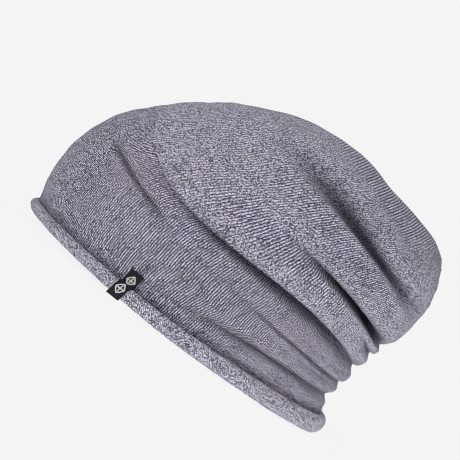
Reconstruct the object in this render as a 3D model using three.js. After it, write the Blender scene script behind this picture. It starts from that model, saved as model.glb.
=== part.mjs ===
// Slouchy knit beanie with a rolled edge and a small woven label.
// Millimetres, +Z up. The beanie stands on its rolled edge with the forehead
// towards -X, the nape and the slouch towards +X and the label on the -Y side.
// The origin is the middle of the footprint, on the resting plane.
import * as THREE from 'three';

// Overall size, measured over the outside of the fabric
const LENGTH = 235;
const WIDTH = 177;
const HEIGHT = 154;

// Knit fabric and the clearance between pieces that touch
const WALL = 2;
const GAP = 0.3;

// Rolled edge: its height, how far it stands out from the wall, and how far
// the forehead end is lifted off the resting plane
const ROLL_HEIGHT_NAPE = 12.2;
const ROLL_HEIGHT_FRONT = 6.5;
const ROLL_REACH_NAPE = 6.5;
const ROLL_REACH_FRONT = 3;
const ROLL_LIFT = 7;

// Depth of the deepest fold, and how far a lobe hangs over the fold below it
const FOLD_DEPTH = 20;
const FOLD_LIP = 3;

// Woven label, folded down over the roll
const LABEL_WIDTH = 9;
const LABEL_LENGTH = 19.5;
const LABEL_THICKNESS = 0.8;

// Mesh fineness: columns of faces around the head
const COLUMNS = 60;

// The foot and the rim of the crown wall stand straight in the roll
const STRAIGHT_ROWS = 2;

// Turns rows of values into objects that carry the column names
const table = (columns, ...rows) => rows.map(
  (row) => Object.fromEntries(columns.map((column, index) => [column, row[index]])),
);

// Sections of the crown, from the rolled edge to the tip. Each one is a loop
// from a point on the forehead and top line to a point on the nape line.
// level is its share of the way along the side, x a share of LENGTH, z a share
// of the height above the roll's crest and half a share of WIDTH.
const SECTIONS = table(
  ['name', 'level', 'frontX', 'frontZ', 'napeX', 'napeZ', 'half'],
  ['rim', 0, -0.481, 0, 0.44, 0, 0.469],
  ['band', 0.08, -0.5, 0.153, 0.434, 0.066, 0.491],
  ['brow', 0.145, -0.495, 0.303, 0.437, 0.115, 0.498],
  ['ear', 0.21, -0.462, 0.463, 0.442, 0.158, 0.5],
  ['temple', 0.3, -0.394, 0.609, 0.454, 0.278, 0.496],
  ['dome', 0.38, -0.321, 0.727, 0.471, 0.386, 0.486],
  ['underBag', 0.43, -0.279, 0.78, 0.487, 0.452, 0.479],
  ['bagFront', 0.515, -0.211, 0.857, 0.5, 0.6, 0.458],
  ['bagBack', 0.62, -0.053, 0.971, 0.493, 0.7, 0.401],
  ['bagTop', 0.755, 0.156, 0.991, 0.472, 0.79, 0.282],
  ['bagSlope', 0.815, 0.234, 0.956, 0.464, 0.815, 0.22],
  ['bagEnd', 0.875, 0.317, 0.931, 0.456, 0.835, 0.156],
  ['crownTip', 0.95, 0.397, 0.897, 0.444, 0.852, 0.08],
  ['tip', 1, 0.428, 0.872, 0.428, 0.872, 0],
);

// Folds pressed into the crown, from the rolled edge up. nape and front are the
// levels where the crease meets the nape and the forehead line, sag and skew
// bend it down at the side and towards the front, in levels too. depth is a
// share of FOLD_DEPTH. The last four are shares of the half turn from nape to
// forehead: the fold keeps atNape of its depth there, is deepest at fullAt and
// is gone at endAt on the near side and at endFar on the far side.
const FOLDS = table(
  ['name', 'nape', 'front', 'sag', 'skew', 'depth', 'atNape', 'fullAt', 'endAt', 'endFar'],
  ['band', 0.1, 0.08, 0.05, 0.055, 0.2, 0.8, 0.33, 0.68, 0.6],
  ['low', 0.21, 0.21, 0.045, 0.02, 0.26, 0.5, 0.26, 0.84, 0.7],
  ['middle', 0.279, 0.327, 0.063, 0.12, 0.62, 0.4, 0.3, 0.7, 0.8],
  ['short', 0.341, 0.355, 0.02, 0.08, 0.24, 0.7, 0.1, 0.22, 0.26],
  ['high', 0.38, 0.38, 0, 0.06, 1, 0.15, 0.24, 0.56, 0.64],
  ['bag', 0.515, 0.515, -0.046, -0.024, 0.46, 0, 0.4, 0.66, 0.6],
);

// Rows of mesh between the rim, each crease in turn and the tip
const ROW_STEPS = [4, 6, 6, 4, 4, 6, 8];

// Where the lifted part of the roll starts, as a share of the way from nape to
// forehead, and how steeply it rises from there
const LIFT_START = 0.45;
const LIFT_POWER = 1.4;

// Roll section: seat of the crown wall as a share of the roll's height, flat
// resting strip as a share of its width, and the angles of its round parts
const SEAT_SHARE = 0.62;
const STRIP_SHARE = 0.36;
const INNER_ARC = [180, 210, 240];
const OUTER_ARC = [-60, -30, 0, 30, 60, 90];

// Where a lobe's crest lies between the creases below and above it
const LOBE_CREST = 0.5;

// Label place: share of the half turn from nape to forehead, the share of the
// roll's width at which its loose end hangs, and how far its sewn end leans
// towards the nape
const LABEL_PLACE = 0.604;
const LABEL_HANG = 0.96;
const LABEL_LEAN = 2.6;

// The wall is followed up to this level in this many steps under the label
const LABEL_TOP_LEVEL = 0.2;
const LABEL_STEPS = 16;

const clamp01 = (value) => Math.min(Math.max(value, 0), 1);
const mix = (from, to, share) => from + (to - from) * share;
const smooth = (share) => clamp01(share) ** 2 * (3 - 2 * clamp01(share));
const towardsFront = (turn) => (1 - Math.cos(turn)) / 2;

const rollLift = (turn) => {
  const share = clamp01((towardsFront(turn) - LIFT_START) / (1 - LIFT_START));
  return ROLL_LIFT * share ** LIFT_POWER;
};
const rollHeight = (turn) => mix(ROLL_HEIGHT_NAPE, ROLL_HEIGHT_FRONT, towardsFront(turn));
const rollWidth = (turn) => WALL + mix(ROLL_REACH_NAPE, ROLL_REACH_FRONT, towardsFront(turn) ** 2);
const crestHeight = (turn) => rollLift(turn) + rollHeight(turn);

// One point of a section loop; turn 0 is the nape and half a turn the forehead
function sectionPoint(section, turn) {
  const front = new THREE.Vector2(
    section.frontX * LENGTH,
    mix(crestHeight(Math.PI), HEIGHT, section.frontZ),
  );
  const nape = new THREE.Vector2(
    section.napeX * LENGTH,
    mix(crestHeight(0), HEIGHT, section.napeZ),
  );
  const point = nape.lerp(front, towardsFront(turn));
  return new THREE.Vector3(
    point.x,
    -section.half * WIDTH * Math.sin(turn),
    section.level === 0 ? crestHeight(turn) : point.y,
  );
}

// Slopes of a smooth curve through values at the levels of the sections
function curveSlopes(values) {
  const rises = values.slice(1).map((value, index) => {
    const run = SECTIONS[index + 1].level - SECTIONS[index].level;
    return { run, slope: (value - values[index]) / run };
  });
  return values.map((_, index) => {
    const before = rises[Math.max(index - 1, 0)];
    const after = rises[Math.min(index, rises.length - 1)];
    return (before.slope * after.run + after.slope * before.run) / (before.run + after.run);
  });
}

function curveValue(values, slopes, level) {
  const above = SECTIONS.findIndex((section) => section.level > level);
  const index = above < 0 ? values.length - 2 : Math.max(above - 1, 0);
  const run = SECTIONS[index + 1].level - SECTIONS[index].level;
  const share = (level - SECTIONS[index].level) / run;
  const square = share * share;
  const cube = square * share;
  return values[index] * (2 * cube - 3 * square + 1)
    + values[index + 1] * (3 * square - 2 * cube)
    + slopes[index] * run * (cube - 2 * square + share)
    + slopes[index + 1] * run * (cube - square);
}

// The smooth line that one column of stitches follows from the rim to the tip
function columnLine(turn) {
  const points = SECTIONS.map((section) => sectionPoint(section, turn));
  const axes = ['x', 'y', 'z'].map((axis) => {
    const values = points.map((point) => point[axis]);
    return { values, slopes: curveSlopes(values) };
  });
  return (level) => new THREE.Vector3(
    ...axes.map((axis) => curveValue(axis.values, axis.slopes, level)),
  );
}

// Level of a crease at one turn
function creaseLevel(fold, turn) {
  const bend = Math.sin(turn) ** 2 * (fold.sag - fold.skew * Math.cos(turn));
  return mix(fold.nape, fold.front, towardsFront(turn)) - bend;
}

// Share of a fold's depth that is left at one turn
function foldStrength(fold, turn) {
  const onNearSide = turn <= Math.PI;
  const share = (onNearSide ? turn : 2 * Math.PI - turn) / Math.PI;
  const end = onNearSide ? fold.endAt : fold.endFar;
  return share < fold.fullAt
    ? mix(fold.atNape, 1, smooth(share / fold.fullAt))
    : 1 - smooth((share - fold.fullAt) / (end - fold.fullAt));
}

// How far a point is pressed in and how far it hangs down, at a share of the
// way from one crease to the next. Above a crease the lobe is round like a
// quarter circle, below it the slope is soft.
function foldShift(lowerFold, upperFold, share, turn) {
  const shift = { press: 0, hang: 0 };
  const fromLower = share / LOBE_CREST;
  const fromUpper = (1 - share) / (1 - LOBE_CREST);
  if (lowerFold && fromLower < 1) {
    const strength = lowerFold.depth * foldStrength(lowerFold, turn);
    shift.press += FOLD_DEPTH * strength * (1 - Math.sqrt(1 - (1 - fromLower) ** 2));
    shift.hang += FOLD_LIP * strength * Math.sin(Math.PI * fromLower);
  }
  if (upperFold && fromUpper < 1) {
    const strength = upperFold.depth * foldStrength(upperFold, turn);
    shift.press += FOLD_DEPTH * strength * (1 - smooth(fromUpper));
  }
  return shift;
}

// Rows of the mesh: each lies a share of the way between two creases
const meshRows = ROW_STEPS.flatMap((steps, cell) => Array.from({ length: steps }, (_, step) => ({
  lowerFold: FOLDS[cell - 1],
  upperFold: FOLDS[cell],
  share: step / steps,
})));

function rowLevel(row, turn) {
  const lower = row.lowerFold ? creaseLevel(row.lowerFold, turn) : 0;
  const upper = row.upperFold ? creaseLevel(row.upperFold, turn) : 1;
  return mix(lower, upper, row.share);
}

// Outward normals of a grid of rows whose columns close round the head
function gridNormals(rows) {
  return rows.map((row, r) => row.map((_, c) => {
    const below = rows[Math.max(r - 1, 0)][c];
    const above = rows[Math.min(r + 1, rows.length - 1)][c];
    const left = row[(c + row.length - 1) % row.length];
    const right = row[(c + 1) % row.length];
    return above.clone().sub(below).cross(right.clone().sub(left)).normalize();
  }));
}

const turnOf = (column) => (2 * Math.PI * column) / COLUMNS;
const columns = Array.from({ length: COLUMNS }, (_, column) => turnOf(column));

// Level direction that points out of the rim at one turn
function rimNormal(turn) {
  const rim = SECTIONS[0];
  const halfLength = ((rim.napeX - rim.frontX) * LENGTH) / 2;
  const halfWidth = rim.half * WIDTH;
  return new THREE.Vector3(
    Math.cos(turn) / halfLength,
    -Math.sin(turn) / halfWidth,
    0,
  ).normalize();
}

const rimPoint = (turn) => sectionPoint(SECTIONS[0], turn);

// The foot of the wall stands straight in the roll's seat
function footPoint(turn) {
  const foot = rimPoint(turn);
  foot.z = rollLift(turn) + rollHeight(turn) * SEAT_SHARE + GAP;
  return foot;
}

function crownOuter() {
  const lines = columns.map((turn) => columnLine(turn));
  const base = meshRows.map((row) => lines.map(
    (line, column) => line(rowLevel(row, columns[column])),
  ));
  const normals = gridNormals(base);
  const folded = base.map((points, r) => points.map((point, column) => {
    const { lowerFold, upperFold, share } = meshRows[r];
    const shift = foldShift(lowerFold, upperFold, share, columns[column]);
    const below = base[Math.max(r - 1, 0)][column];
    const down = below.clone().sub(point).normalize();
    return point.clone()
      .addScaledVector(normals[r][column], -shift.press)
      .addScaledVector(down, shift.hang);
  }));
  return [columns.map((turn) => footPoint(turn)), ...folded];
}

function crownInner(outer) {
  const normals = gridNormals(outer);
  return outer.map((row, r) => row.map((point, c) => {
    const normal = r < STRAIGHT_ROWS ? rimNormal(columns[c]) : normals[r][c];
    return point.clone().addScaledVector(normal, -WALL);
  }));
}

// Collects points and triangles of one closed mesh
class ShellMesh {
  constructor() {
    this.points = [];
    this.faces = [];
  }

  addPoints(points) {
    const start = this.points.length;
    this.points.push(...points);
    return points.map((_, index) => start + index);
  }

  // Joins two rings of the same count, faces towards the outside
  join(lower, upper, closed) {
    const count = closed ? lower.length : lower.length - 1;
    for (let index = 0; index < count; index += 1) {
      const next = (index + 1) % lower.length;
      this.faces.push([lower[index], upper[index], upper[next]]);
      this.faces.push([lower[index], upper[next], lower[next]]);
    }
  }

  // Closes a ring with a fan to one point
  close(ring, apex) {
    ring.forEach((index, place) => {
      this.faces.push([index, apex, ring[(place + 1) % ring.length]]);
    });
  }

  toMesh(name, material) {
    const geometry = new THREE.BufferGeometry().setFromPoints(this.points);
    geometry.setIndex(this.faces.flat());
    geometry.computeVertexNormals();
    const mesh = new THREE.Mesh(geometry, material);
    mesh.name = name;
    return mesh;
  }
}

// Hollow knit crown: an outer and an inner skin that meet at the foot
function makeCrown() {
  const outer = crownOuter();
  const inner = crownInner(outer);
  const outerTip = sectionPoint(SECTIONS[SECTIONS.length - 1], 0);
  const lastRing = new THREE.Vector3();
  outer[outer.length - 1].forEach((point) => lastRing.addScaledVector(point, 1 / COLUMNS));
  const inward = lastRing.sub(outerTip).normalize();
  const innerTip = outerTip.clone().addScaledVector(inward, WALL);

  const shell = new ShellMesh();
  const outerRings = outer.map((row) => shell.addPoints(row));
  const innerRings = inner.map((row) => shell.addPoints(row).reverse());
  for (let r = 1; r < outerRings.length; r += 1) {
    shell.join(outerRings[r - 1], outerRings[r], true);
    shell.join(innerRings[r - 1], innerRings[r], true);
  }
  const [apexOuter, apexInner] = shell.addPoints([outerTip, innerTip]);
  shell.close(outerRings[outerRings.length - 1], apexOuter);
  shell.close(innerRings[innerRings.length - 1], apexInner);
  shell.join([...innerRings[0]].reverse(), outerRings[0], true);
  return shell.toMesh('crown', new THREE.MeshStandardMaterial({
    color: 0x86838f,
    roughness: 0.95,
    metalness: 0,
  }));
}

// Outline of the roll at one turn, from the seat down round the inside, the
// resting strip and the outside. x is outward from the wall's inner face.
function rollOutline(turn) {
  const height = rollHeight(turn);
  const width = rollWidth(turn);
  const lift = rollLift(turn);
  const radiusX = width / 2;
  const radiusZ = height / 2;
  const arcPoint = (degrees) => {
    const angle = THREE.MathUtils.degToRad(degrees);
    return new THREE.Vector2(
      radiusX * (1 + Math.cos(angle)),
      lift + radiusZ * (1 + Math.sin(angle)),
    );
  };
  const slot = WALL + GAP;
  const shoulder = Math.sqrt(Math.max(1 - (slot / radiusX - 1) ** 2, 0));
  const seat = lift + height * SEAT_SHARE;
  const strip = (STRIP_SHARE * width) / 2;
  return [
    new THREE.Vector2(0, seat),
    ...INNER_ARC.map(arcPoint),
    new THREE.Vector2(radiusX - strip, lift),
    new THREE.Vector2(radiusX + strip, lift),
    ...OUTER_ARC.map(arcPoint),
    new THREE.Vector2(slot, lift + radiusZ * (1 + shoulder)),
    new THREE.Vector2(slot, seat),
  ];
}

// Puts an outline point into the part: out from the wall's inner face, and up
function placeOutline(turn, point) {
  const normal = rimNormal(turn);
  const placed = rimPoint(turn).addScaledVector(normal, point.x - WALL);
  placed.z = point.y;
  return placed;
}

function makeRolledBrim() {
  const shell = new ShellMesh();
  const rings = columns.map((turn) => shell.addPoints(
    rollOutline(turn).map((point) => placeOutline(turn, point)),
  ));
  rings.forEach((ring, index) => {
    shell.join(rings[(index + 1) % rings.length], ring, true);
  });
  return shell.toMesh('rolled_brim', new THREE.MeshStandardMaterial({
    color: 0x84818e,
    roughness: 0.95,
    metalness: 0,
  }));
}

// Inner face of the label in the roll's outline plane, from its loose end over
// the roll and up the wall
function labelPath(turn) {
  const outline = rollOutline(turn);
  const firstOuter = outline.length - 2 - OUTER_ARC.length;
  const overRoll = outline.slice(firstOuter + 1, outline.length - 2);
  const centre = new THREE.Vector2(rollWidth(turn) / 2, crestHeight(turn) - rollHeight(turn) / 2);
  const eased = overRoll.map((point) => {
    const out = point.clone().sub(centre).normalize();
    return point.clone().addScaledVector(out, GAP);
  });
  const looseEnd = new THREE.Vector2(rollWidth(turn) * LABEL_HANG + GAP, GAP);
  const line = columnLine(turn);
  const foot = rimPoint(turn);
  const normal = rimNormal(turn);
  const upWall = Array.from({ length: LABEL_STEPS }, (_, step) => {
    const point = line(((step + 1) * LABEL_TOP_LEVEL) / LABEL_STEPS);
    const out = point.clone().sub(foot).dot(normal);
    return new THREE.Vector2(WALL + out + 2 * GAP, point.z);
  });
  return [looseEnd, ...eased, ...upWall];
}

// The first stretch of a path, cut off at the given length
function cutPath(path, length) {
  const kept = [path[0]];
  let left = length;
  for (let index = 1; index < path.length && left > 0; index += 1) {
    const step = path[index].distanceTo(path[index - 1]);
    const share = Math.min(left / step, 1);
    kept.push(path[index - 1].clone().lerp(path[index], share));
    left -= step;
  }
  return kept;
}

// Moves a path sideways by the given distance, keeping its point count
function thickenPath(path, distance) {
  return path.map((point, index) => {
    const before = path[Math.max(index - 1, 0)];
    const after = path[Math.min(index + 1, path.length - 1)];
    const along = after.clone().sub(before).normalize();
    return new THREE.Vector2(point.x + along.y * distance, point.y - along.x * distance);
  });
}

function makeLabel() {
  const turn = LABEL_PLACE * Math.PI;
  const step = Math.PI / COLUMNS;
  const across = rimPoint(turn + step).sub(rimPoint(turn - step)).normalize();
  const inner = cutPath(labelPath(turn), LABEL_LENGTH);
  const outer = thickenPath(inner, LABEL_THICKNESS);
  const outline = [...inner, ...outer.reverse()];
  const leans = inner.map((_, index) => -LABEL_LEAN * (index / (inner.length - 1)));
  const shifts = [...leans, ...leans.toReversed()];
  const shell = new ShellMesh();
  const rings = [-0.5, 0.5].map((share) => shell.addPoints(outline.map(
    (point, index) => placeOutline(turn, point)
      .addScaledVector(across, share * LABEL_WIDTH + shifts[index]),
  )));
  shell.join(rings[0], rings[1], true);
  const half = inner.length;
  rings.forEach((ring, index) => {
    const near = ring.slice(0, half);
    const far = ring.slice(half).reverse();
    shell.join(index === 0 ? far : near, index === 0 ? near : far, false);
  });
  return shell.toMesh('label', new THREE.MeshStandardMaterial({
    color: 0x17171a,
    roughness: 0.8,
    metalness: 0,
  }));
}

const beanie = new THREE.Group();
beanie.add(makeCrown(), makeRolledBrim(), makeLabel());

// Stand the finished beanie over its origin
const box = new THREE.Box3().setFromObject(beanie);
const centre = box.getCenter(new THREE.Vector3());
beanie.position.set(-centre.x, -centre.y, -box.min.z);
beanie.updateMatrixWorld(true);

export default beanie;
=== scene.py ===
"""Slouchy knit beanie with a rolled edge and a small woven label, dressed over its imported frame.

Lengths are in metres. The forehead looks towards -X, the nape and the slouch towards +X, and
the label sits on the -Y side. The beanie stands on its rolled edge at z = 0.
"""

import logging
import math
from dataclasses import dataclass, field
from enum import Enum

import bpy
import numpy as np
from mathutils import Matrix, Vector

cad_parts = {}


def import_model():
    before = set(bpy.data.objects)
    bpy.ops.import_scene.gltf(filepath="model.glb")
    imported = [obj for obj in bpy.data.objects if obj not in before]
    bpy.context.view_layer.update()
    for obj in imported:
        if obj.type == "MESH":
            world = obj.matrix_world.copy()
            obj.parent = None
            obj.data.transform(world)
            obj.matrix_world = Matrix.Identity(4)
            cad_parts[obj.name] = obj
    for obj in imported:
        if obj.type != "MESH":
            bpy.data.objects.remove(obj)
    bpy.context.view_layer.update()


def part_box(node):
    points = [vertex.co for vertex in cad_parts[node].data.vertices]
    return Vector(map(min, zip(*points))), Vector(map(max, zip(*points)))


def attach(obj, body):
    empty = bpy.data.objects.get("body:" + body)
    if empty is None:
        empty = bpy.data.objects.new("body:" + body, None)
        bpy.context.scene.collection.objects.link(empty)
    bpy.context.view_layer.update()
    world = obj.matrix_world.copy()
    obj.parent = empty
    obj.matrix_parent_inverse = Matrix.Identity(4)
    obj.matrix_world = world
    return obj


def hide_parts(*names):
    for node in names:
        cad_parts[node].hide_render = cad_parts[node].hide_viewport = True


LOG = logging.getLogger("beanie")
BODY = "root"


class Stitch(Enum):
    """Which side of the knit shows."""

    STOCKINETTE = "stockinette"
    PURL = "purl"


@dataclass(frozen=True)
class Section:
    """One loop of the crown, from a point on the forehead line to a point on the nape line.

    level is its share of the way along the side. The x fields are shares of the length, the z
    fields shares of the height above the roll's crest and half a share of the width.
    """

    level: float
    front_x: float
    front_z: float
    nape_x: float
    nape_z: float
    half: float


SECTIONS = (
    Section(0.0, -0.481, 0.0, 0.44, 0.0, 0.469),
    Section(0.08, -0.5, 0.153, 0.434, 0.066, 0.491),
    Section(0.145, -0.495, 0.303, 0.437, 0.115, 0.498),
    Section(0.21, -0.462, 0.463, 0.442, 0.158, 0.5),
    Section(0.3, -0.394, 0.609, 0.454, 0.278, 0.496),
    Section(0.38, -0.321, 0.727, 0.471, 0.386, 0.486),
    Section(0.43, -0.279, 0.78, 0.487, 0.452, 0.479),
    Section(0.515, -0.211, 0.857, 0.5, 0.6, 0.458),
    Section(0.62, -0.053, 0.971, 0.493, 0.7, 0.401),
    Section(0.755, 0.156, 0.991, 0.472, 0.79, 0.282),
    Section(0.815, 0.234, 0.956, 0.464, 0.815, 0.22),
    Section(0.875, 0.317, 0.931, 0.456, 0.835, 0.156),
    Section(0.95, 0.397, 0.897, 0.444, 0.852, 0.08),
    Section(1.0, 0.428, 0.872, 0.428, 0.872, 0.0),
)


@dataclass(frozen=True)
class Fold:
    """A fold pressed into the crown along a crease.

    nape and front are the crease's levels on those lines; sag and skew bend it at the side.
    depth is a share of the deepest fold. at_nape is the share of the depth kept at the nape,
    full_at, end_at and end_far are shares of the half turn from nape to forehead. softness
    rounds the lobe's lower edge. below and above tell how much of the half lobes beside the
    crease slopes into it at the side, and floor how much of that is flat at the bottom. steps
    is the count of mesh rows below the crease.
    """

    nape: float
    front: float
    sag: float
    skew: float
    depth: float
    at_nape: float
    full_at: float
    end_at: float
    end_far: float
    softness: float
    below: float
    floor: float
    above: float
    steps: int


FOLDS = (
    Fold(0.1, 0.08, 0.05, 0.055, 0.26, 0.7, 0.33, 0.68, 0.6, 0.6, 0.6, 0.0, 0.8, 24),
    Fold(0.21, 0.21, 0.038, 0.004, 0.17, 1.0, 0.2, 0.62, 0.7, 0.2, 0.2, 0.0, 0.7, 34),
    Fold(0.279, 0.335, 0.06, 0.12, 0.56, 0.4, 0.4, 0.8, 0.8, 0.35, 0.9, 0.1, 0.8, 32),
    Fold(0.341, 0.355, 0.02, 0.08, 0.24, 0.7, 0.1, 0.22, 0.26, 0.2, 1.0, 0.0, 1.0, 26),
    Fold(0.38, 0.38, 0.002, 0.06, 1.25, 0.13, 0.13, 0.54, 0.6, 0.02, 1.3, 0.1, 0.7, 30),
    Fold(0.515, 0.515, -0.054, -0.03, 0.7, 0.0, 0.4, 0.8, 0.6, 0.1, 0.6, 0.15, 0.3, 44),
)
STEPS_TO_TIP = 54
ROW_CROWDING = 0.55


def clamp01(value: np.ndarray) -> np.ndarray:
    """Limits values to the range from 0 to 1."""
    return np.clip(value, 0.0, 1.0)


def smooth(share: np.ndarray) -> np.ndarray:
    """Eases a share in and out."""
    kept = clamp01(share)
    return kept * kept * (3.0 - 2.0 * kept)


def mix(start: np.ndarray, end: np.ndarray, share: np.ndarray) -> np.ndarray:
    """Goes from start to end by a share."""
    return start + (end - start) * share


def nape_share(turn: np.ndarray) -> np.ndarray:
    """Share of the half turn from nape to forehead, on either side."""
    return np.where(turn <= math.pi, turn, 2 * math.pi - turn) / math.pi


def even_turns(count: int) -> np.ndarray:
    """Turns of so many even columns, from the nape."""
    return np.arange(count) * 2 * math.pi / count


def pairs(first: np.ndarray, second: np.ndarray) -> np.ndarray:
    """Joins two arrays, broadcast to one shape, into pairs on a last axis."""
    return np.stack(np.broadcast_arrays(first, second), axis=-1)


def unit(vectors: np.ndarray) -> np.ndarray:
    """Scales vectors on the last axis to length 1."""
    lengths = np.linalg.norm(vectors, axis=-1, keepdims=True)
    return vectors / np.maximum(lengths, 1e-12)


def running_length(points: np.ndarray) -> np.ndarray:
    """Length run from the first row of points to each row."""
    steps = np.linalg.norm(np.diff(points, axis=0), axis=-1)
    return np.concatenate([np.zeros_like(steps[:1]), np.cumsum(steps, axis=0)])


def grid_normals(grid: np.ndarray) -> np.ndarray:
    """Outward normals of rows of points whose columns close round the head.

    Args:
        grid: points as rows x columns x 3.

    Returns:
        Unit normals of the same shape.
    """
    along = np.empty_like(grid)
    along[1:-1] = grid[2:] - grid[:-2]
    along[0] = grid[1] - grid[0]
    along[-1] = grid[-1] - grid[-2]
    around = np.roll(grid, -1, axis=1) - np.roll(grid, 1, axis=1)
    return unit(np.cross(along, around))


@dataclass(frozen=True)
class Ramp:
    """A smooth rise from 0 at start to 1 a width further on, downwards if the width is negative."""

    start: float
    width: float

    def at(self, value: np.ndarray) -> np.ndarray:
        """Height of the ramp at a value."""
        return smooth((value - self.start) / self.width)


@dataclass(frozen=True)
class BeanieForm:
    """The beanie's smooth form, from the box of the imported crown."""

    length: float
    width: float
    height: float
    wall: float = 0.002
    gap: float = 0.0003
    roll_height_nape: float = 0.0122
    roll_height_front: float = 0.0065
    roll_reach_nape: float = 0.0065
    roll_reach_front: float = 0.003
    roll_lift_front: float = 0.007
    lift_start: float = 0.45
    lift_power: float = 1.4
    seat_share: float = 0.62
    fold_depth: float = 0.020
    fold_lip: float = 0.005
    most_lip: float = 0.6
    narrow_from: float = 0.3
    floor_from: float = 0.1
    lobe_crest: float = 0.5

    @staticmethod
    def from_frame() -> "BeanieForm":
        """Reads the crown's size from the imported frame."""
        low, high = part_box("crown")
        return BeanieForm(length=high.x - low.x, width=high.y - low.y, height=high.z)

    def towards_front(self, turn: np.ndarray) -> np.ndarray:
        """Share of the way from nape to forehead at a turn."""
        return (1.0 - np.cos(turn)) / 2.0

    def roll_lift(self, turn: np.ndarray) -> np.ndarray:
        """How far the roll's underside is off the resting plane."""
        share = clamp01((self.towards_front(turn) - self.lift_start) / (1.0 - self.lift_start))
        return self.roll_lift_front * share ** self.lift_power

    def roll_height(self, turn: np.ndarray) -> np.ndarray:
        """Height of the roll itself."""
        return mix(self.roll_height_nape, self.roll_height_front, self.towards_front(turn))

    def roll_width(self, turn: np.ndarray) -> np.ndarray:
        """Width of the roll, from the wall's inner face outward."""
        share = self.towards_front(turn) ** 2
        return self.wall + mix(self.roll_reach_nape, self.roll_reach_front, share)

    def crest(self, turn: np.ndarray) -> np.ndarray:
        """Height of the roll's crest above the resting plane."""
        return self.roll_lift(turn) + self.roll_height(turn)

    def section_points(self, turn: np.ndarray) -> np.ndarray:
        """Points of every section at the given turns.

        Args:
            turn: turns from the nape, one for each column.

        Returns:
            Points as sections x columns x 3.
        """
        front_crest = self.crest(np.array(math.pi))
        nape_crest = self.crest(np.array(0.0))
        share = self.towards_front(turn)
        rows = []
        for section in SECTIONS:
            x = mix(section.nape_x, section.front_x, share) * self.length
            y = -section.half * self.width * np.sin(turn)
            nape_z = mix(nape_crest, self.height, section.nape_z)
            front_z = mix(front_crest, self.height, section.front_z)
            z = self.crest(turn) if section.level == 0.0 else mix(nape_z, front_z, share)
            rows.append(np.stack([x, y, z], axis=-1))
        return np.array(rows)

    def base_points(self, level: np.ndarray, turn: np.ndarray) -> np.ndarray:
        """Points of the smooth crown, before its folds.

        Args:
            level: levels as rows x columns.
            turn: turns from the nape, one for each column.

        Returns:
            Points as rows x columns x 3.
        """
        knots = np.array([section.level for section in SECTIONS])
        values = self.section_points(turn)
        runs = np.diff(knots)[:, None, None]
        rises = np.diff(values, axis=0) / runs
        slopes = np.empty_like(values)
        slopes[0] = rises[0]
        slopes[-1] = rises[-1]
        slopes[1:-1] = (rises[:-1] * runs[1:] + rises[1:] * runs[:-1]) / (runs[1:] + runs[:-1])
        place = np.clip(np.searchsorted(knots, level, side="right") - 1, 0, len(knots) - 2)
        run = np.diff(knots)[place]
        share = ((level - knots[place]) / run)[..., None]
        run = run[..., None]
        column = np.arange(len(turn))[None, :]
        square = share * share
        cube = square * share
        return (values[place, column] * (2 * cube - 3 * square + 1)
                + values[place + 1, column] * (3 * square - 2 * cube)
                + slopes[place, column] * run * (cube - 2 * square + share)
                + slopes[place + 1, column] * run * (cube - square))

    def crease_level(self, fold: Fold, turn: np.ndarray) -> np.ndarray:
        """Level of a crease at each turn."""
        bend = np.sin(turn) ** 2 * (fold.sag - fold.skew * np.cos(turn))
        return mix(fold.nape, fold.front, self.towards_front(turn)) - bend

    def fold_strength(self, fold: Fold, turn: np.ndarray) -> np.ndarray:
        """Share of a fold's depth that is left at each turn.

        Args:
            fold: the fold.
            turn: turns from the nape.

        Returns:
            The shares, from 0 to 1.
        """
        share = nape_share(turn)
        end = np.where(turn <= math.pi, fold.end_at, fold.end_far)
        rise = mix(fold.at_nape, 1.0, smooth(share / fold.full_at))
        fall = 1.0 - smooth((share - fold.full_at) / (end - fold.full_at))
        return np.where(share < fold.full_at, rise, fall)

    def slope_share(self, side_share: float, turn: np.ndarray) -> np.ndarray:
        """Share of half a lobe that slopes into a crease: all of it at the nape."""
        return mix(1.0, side_share, smooth(nape_share(turn) / self.narrow_from))

    def rim_normal(self, turn: np.ndarray) -> np.ndarray:
        """Level direction that points out of the rim.

        Args:
            turn: turns from the nape.

        Returns:
            Unit vectors in the shape of the turns, with 3 coordinates each.
        """
        rim = SECTIONS[0]
        half_length = (rim.nape_x - rim.front_x) * self.length / 2
        half_width = rim.half * self.width
        flat = np.stack([np.cos(turn) / half_length, -np.sin(turn) / half_width,
                         np.zeros_like(turn)], axis=-1)
        return unit(flat)

    def rim_points(self, turn: np.ndarray) -> np.ndarray:
        """Outer points of the crown's rim, at the crest of the roll."""
        return self.section_points(turn)[0]


@dataclass(frozen=True)
class Pucker:
    """A soft ridge or groove along a line of the crown.

    nape, side and front are its levels there. height is how far it stands out, or in when
    negative, and spread is its half width in levels. It starts and ends at shares of the
    half turn from nape to forehead.
    """

    nape: float
    side: float
    front: float
    height: float
    spread: float
    start: float
    end: float


PUCKERS = (
    Pucker(0.05, 0.035, 0.03, 0.0008, 0.012, 0.02, 0.5),
    Pucker(0.14, 0.10, 0.14, 0.0012, 0.012, 0.05, 0.55),
    Pucker(0.17, 0.14, 0.16, -0.0010, 0.010, 0.0, 0.45),
    Pucker(0.21, 0.168, 0.205, -0.0024, 0.006, 0.55, 0.9),
    Pucker(0.225, 0.186, 0.224, 0.0016, 0.009, 0.4, 0.88),
    Pucker(0.245, 0.21, 0.25, -0.0009, 0.010, 0.0, 0.42),
    Pucker(0.31, 0.30, 0.36, 0.0009, 0.012, 0.1, 0.5),
    Pucker(0.40, 0.43, 0.43, 0.0016, 0.014, 0.3, 0.62),
    Pucker(0.45, 0.47, 0.47, -0.0008, 0.018, 0.1, 0.5),
    Pucker(0.59, 0.60, 0.61, 0.0024, 0.014, 0.24, 0.66),
    Pucker(0.66, 0.68, 0.66, -0.0008, 0.03, 0.2, 0.62),
)


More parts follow.
